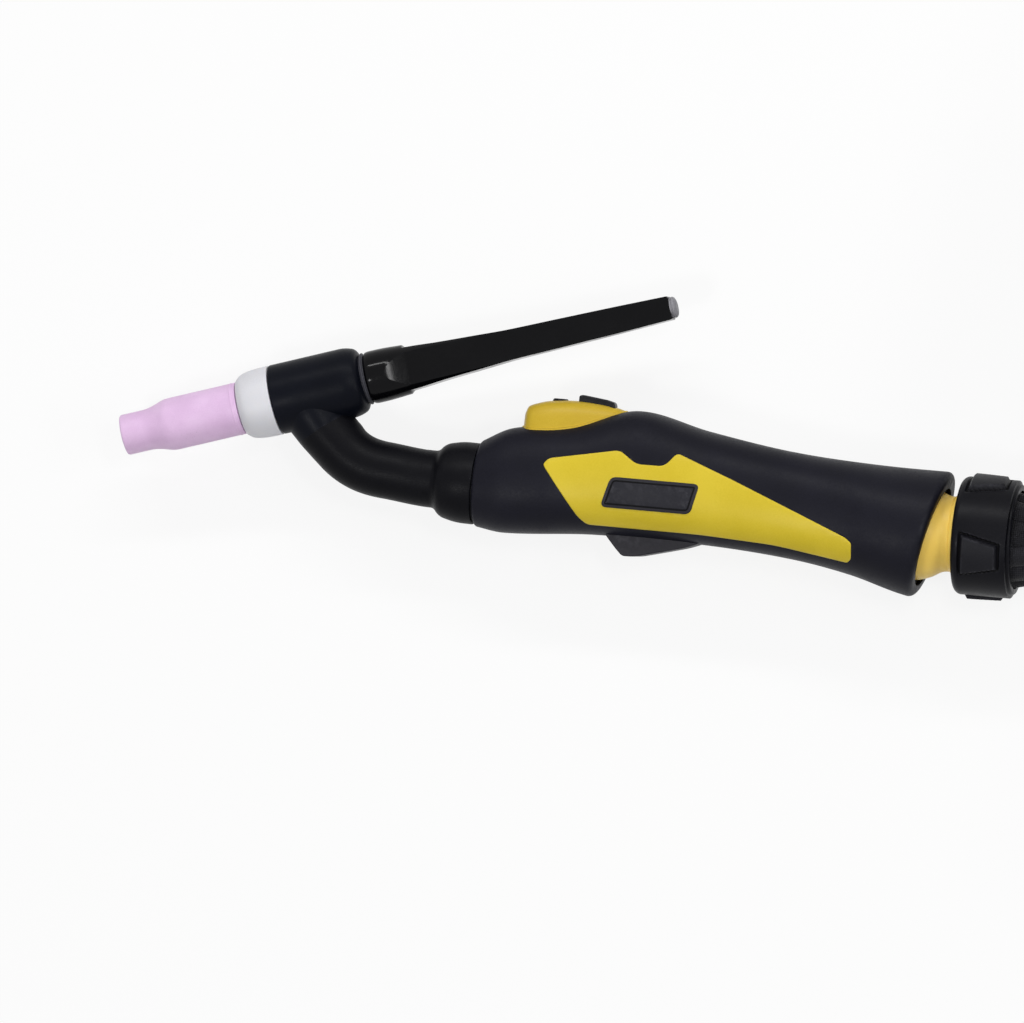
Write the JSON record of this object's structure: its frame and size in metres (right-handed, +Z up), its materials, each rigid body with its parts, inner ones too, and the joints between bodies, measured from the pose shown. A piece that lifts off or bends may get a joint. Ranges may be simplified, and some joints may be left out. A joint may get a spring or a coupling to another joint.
{
  "type": "tig welding torch",
  "caption": "TIG welding torch with a flexible neck, long back cap, switch housing on a contoured handle, ball-jointed cable collar and a coiled cable with its plug.",
  "frame": {"origin": "bottom centre of the torch's box, measured without the stored cable, its ties and its plug; the torch lies on its right side", "axes": "+X runs along the handle from nozzle to cable, +Y towards the side with the keys, +Z up out of the torch's left side"},
  "size_m": [0.6442, 0.2504, 0.1256],
  "materials": {
    "alumina": "matte fired alumina, pale pink",
    "white_insulator": "smooth white",
    "neck_rubber": "satin moulded rubber",
    "hose_rubber": "matte",
    "grip_black": "soft-touch matte",
    "gloss_black": "gloss",
    "yellow": "satin moulded",
    "charcoal": "satin moulded",
    "seal_grey": "matte",
    "brass": "turned",
    "copper": "drawn copper",
    "steel": "ground",
    "board": "circuit board",
    "textile": "woven cover"
  },
  "bodies": {
    "cable": {"cable_collar": "charcoal", "swivel_hose": "hose_rubber", "cover_gather": "textile", "cable_lead": "textile", "cable_coil": "textile", "cable_tail": "textile", "coil_tie_1": "charcoal", "coil_tie_2": "charcoal", "plug_boot": "neck_rubber", "plug_housing": "grip_black", "plug_power_pin": "brass", "plug_control_pin_1": "brass", "plug_control_pin_2": "brass"},
    "plug_nut": {"plug_union_nut": "charcoal"},
    "ball": {"joint_ball": "yellow"},
    "socket": {"socket_liner": "hose_rubber"},
    "handle": {"handle_shell_left": "grip_black", "handle_shell_right": "grip_black", "side_inlay_left": "yellow", "side_inlay_right": "yellow", "badge_plate_left": "charcoal", "badge_plate_right": "charcoal", "switch_housing": "yellow", "switch_board": "board", "microswitch_front": "gloss_black", "microswitch_rear": "gloss_black", "control_lead": "hose_rubber", "gas_power_hose": "hose_rubber", "hose_clamp": "steel", "neck_adaptor": "brass", "neck_collar": "neck_rubber", "finger_stop": "charcoal", "shell_screw_1": "steel", "shell_screw_2": "steel", "shell_screw_3": "steel", "shell_screw_4": "steel"},
    "front_button": {"front_button": "gloss_black"},
    "rear_key": {"rear_key": "gloss_black"},
    "neck_link_1": {"neck_cover_1": "neck_rubber", "neck_tube_1": "copper"},
    "neck_link_2": {"neck_cover_2": "neck_rubber", "neck_tube_2": "copper"},
    "neck_link_3": {"neck_cover_3": "neck_rubber", "neck_tube_3": "copper"},
    "neck_link_4": {"neck_cover_4": "neck_rubber", "neck_tube_4": "copper"},
    "head": {"head_cover": "neck_rubber", "head_core": "brass", "cup_insulator": "white_insulator", "collet_body": "copper", "collet": "copper", "cap_seal": "seal_grey"},
    "nozzle": {"ceramic_nozzle": "alumina"},
    "back_cap": {"back_cap": "gloss_black"},
    "electrode": {"tungsten_electrode": "steel"}
  },
  "joints": [
    {"name": "cable_swivel", "type": "hinge", "parent": "cable", "child": "ball", "pos_m": [0.12465, -0.02876, 0.02475], "axis": [1, 0, 0], "range_deg": [-90, 90]},
    {"name": "ball_tilt_side", "type": "hinge", "parent": "ball", "child": "socket", "pos_m": [0.12465, -0.02876, 0.02475], "axis": [0, 1, 0], "range_deg": [-12, 12]},
    {"name": "ball_tilt_down", "type": "hinge", "parent": "socket", "child": "handle", "pos_m": [0.12465, -0.02876, 0.02475], "axis": [0, 0, 1], "range_deg": [-4, 28]},
    {"name": "neck_bend_1", "type": "hinge", "parent": "handle", "child": "neck_link_1", "pos_m": [-0.07154, -0.02493, 0.02475], "axis": [0, 0, 1], "range_deg": [0, 33.6], "deforming": ["neck_cover_1"]},
    {"name": "neck_bend_2", "type": "hinge", "parent": "neck_link_1", "child": "neck_link_2", "pos_m": [-0.08194, -0.02465, 0.02475], "axis": [0, 0, 1], "range_deg": [0, 33.6], "deforming": ["neck_cover_2"]},
    {"name": "neck_bend_3", "type": "hinge", "parent": "neck_link_2", "child": "neck_link_3", "pos_m": [-0.0923, -0.02396, 0.02475], "axis": [0, 0, 1], "range_deg": [0, 33.6], "deforming": ["neck_cover_3"]},
    {"name": "neck_bend_4", "type": "hinge", "parent": "neck_link_3", "child": "neck_link_4", "pos_m": [-0.10194, -0.02019, 0.02475], "axis": [0, 0, 1], "range_deg": [0, 33.6], "deforming": ["neck_cover_4"]},
    {"name": "neck_bend_5", "type": "hinge", "parent": "neck_link_4", "child": "head", "pos_m": [-0.10967, -0.01331, 0.02475], "axis": [0, 0, 1], "range_deg": [0, 33.6]},
    {"name": "front_button_press", "type": "slide", "parent": "handle", "child": "front_button", "axis": [0, -1, 0], "range_m": [0, 0.0015], "stiffness_N_per_m": 500, "springref_m": -0.001},
    {"name": "rear_key_press", "type": "slide", "parent": "handle", "child": "rear_key", "axis": [0, -1, 0], "range_m": [0, 0.0015], "stiffness_N_per_m": 500, "springref_m": -0.001},
    {"name": "nozzle_turn", "type": "hinge", "parent": "head", "child": "nozzle", "pos_m": [-0.18991, -0.01763, 0.02475], "axis": [0.9521, 0.3057, 0], "continuous": true},
    {"name": "back_cap_turn", "type": "hinge", "parent": "head", "child": "back_cap", "pos_m": [-0.18991, -0.01763, 0.02475], "axis": [0.9521, 0.3057, 0], "continuous": true},
    {"name": "electrode_slide", "type": "slide", "parent": "head", "child": "electrode", "axis": [-0.9521, -0.3057, 0], "range_m": [-0.01, 0.018]},
    {"name": "plug_nut_turn", "type": "hinge", "parent": "cable", "child": "plug_nut", "pos_m": [0.22005, 0.02, 0.1048], "axis": [0, -1, 0], "continuous": true}
  ],
  "couplings": [
    {"joint": "neck_bend_2", "follows": "neck_bend_1", "ratio": 1},
    {"joint": "neck_bend_3", "follows": "neck_bend_1", "ratio": 1},
    {"joint": "neck_bend_4", "follows": "neck_bend_1", "ratio": 1},
    {"joint": "neck_bend_5", "follows": "neck_bend_1", "ratio": 1}
  ]
}
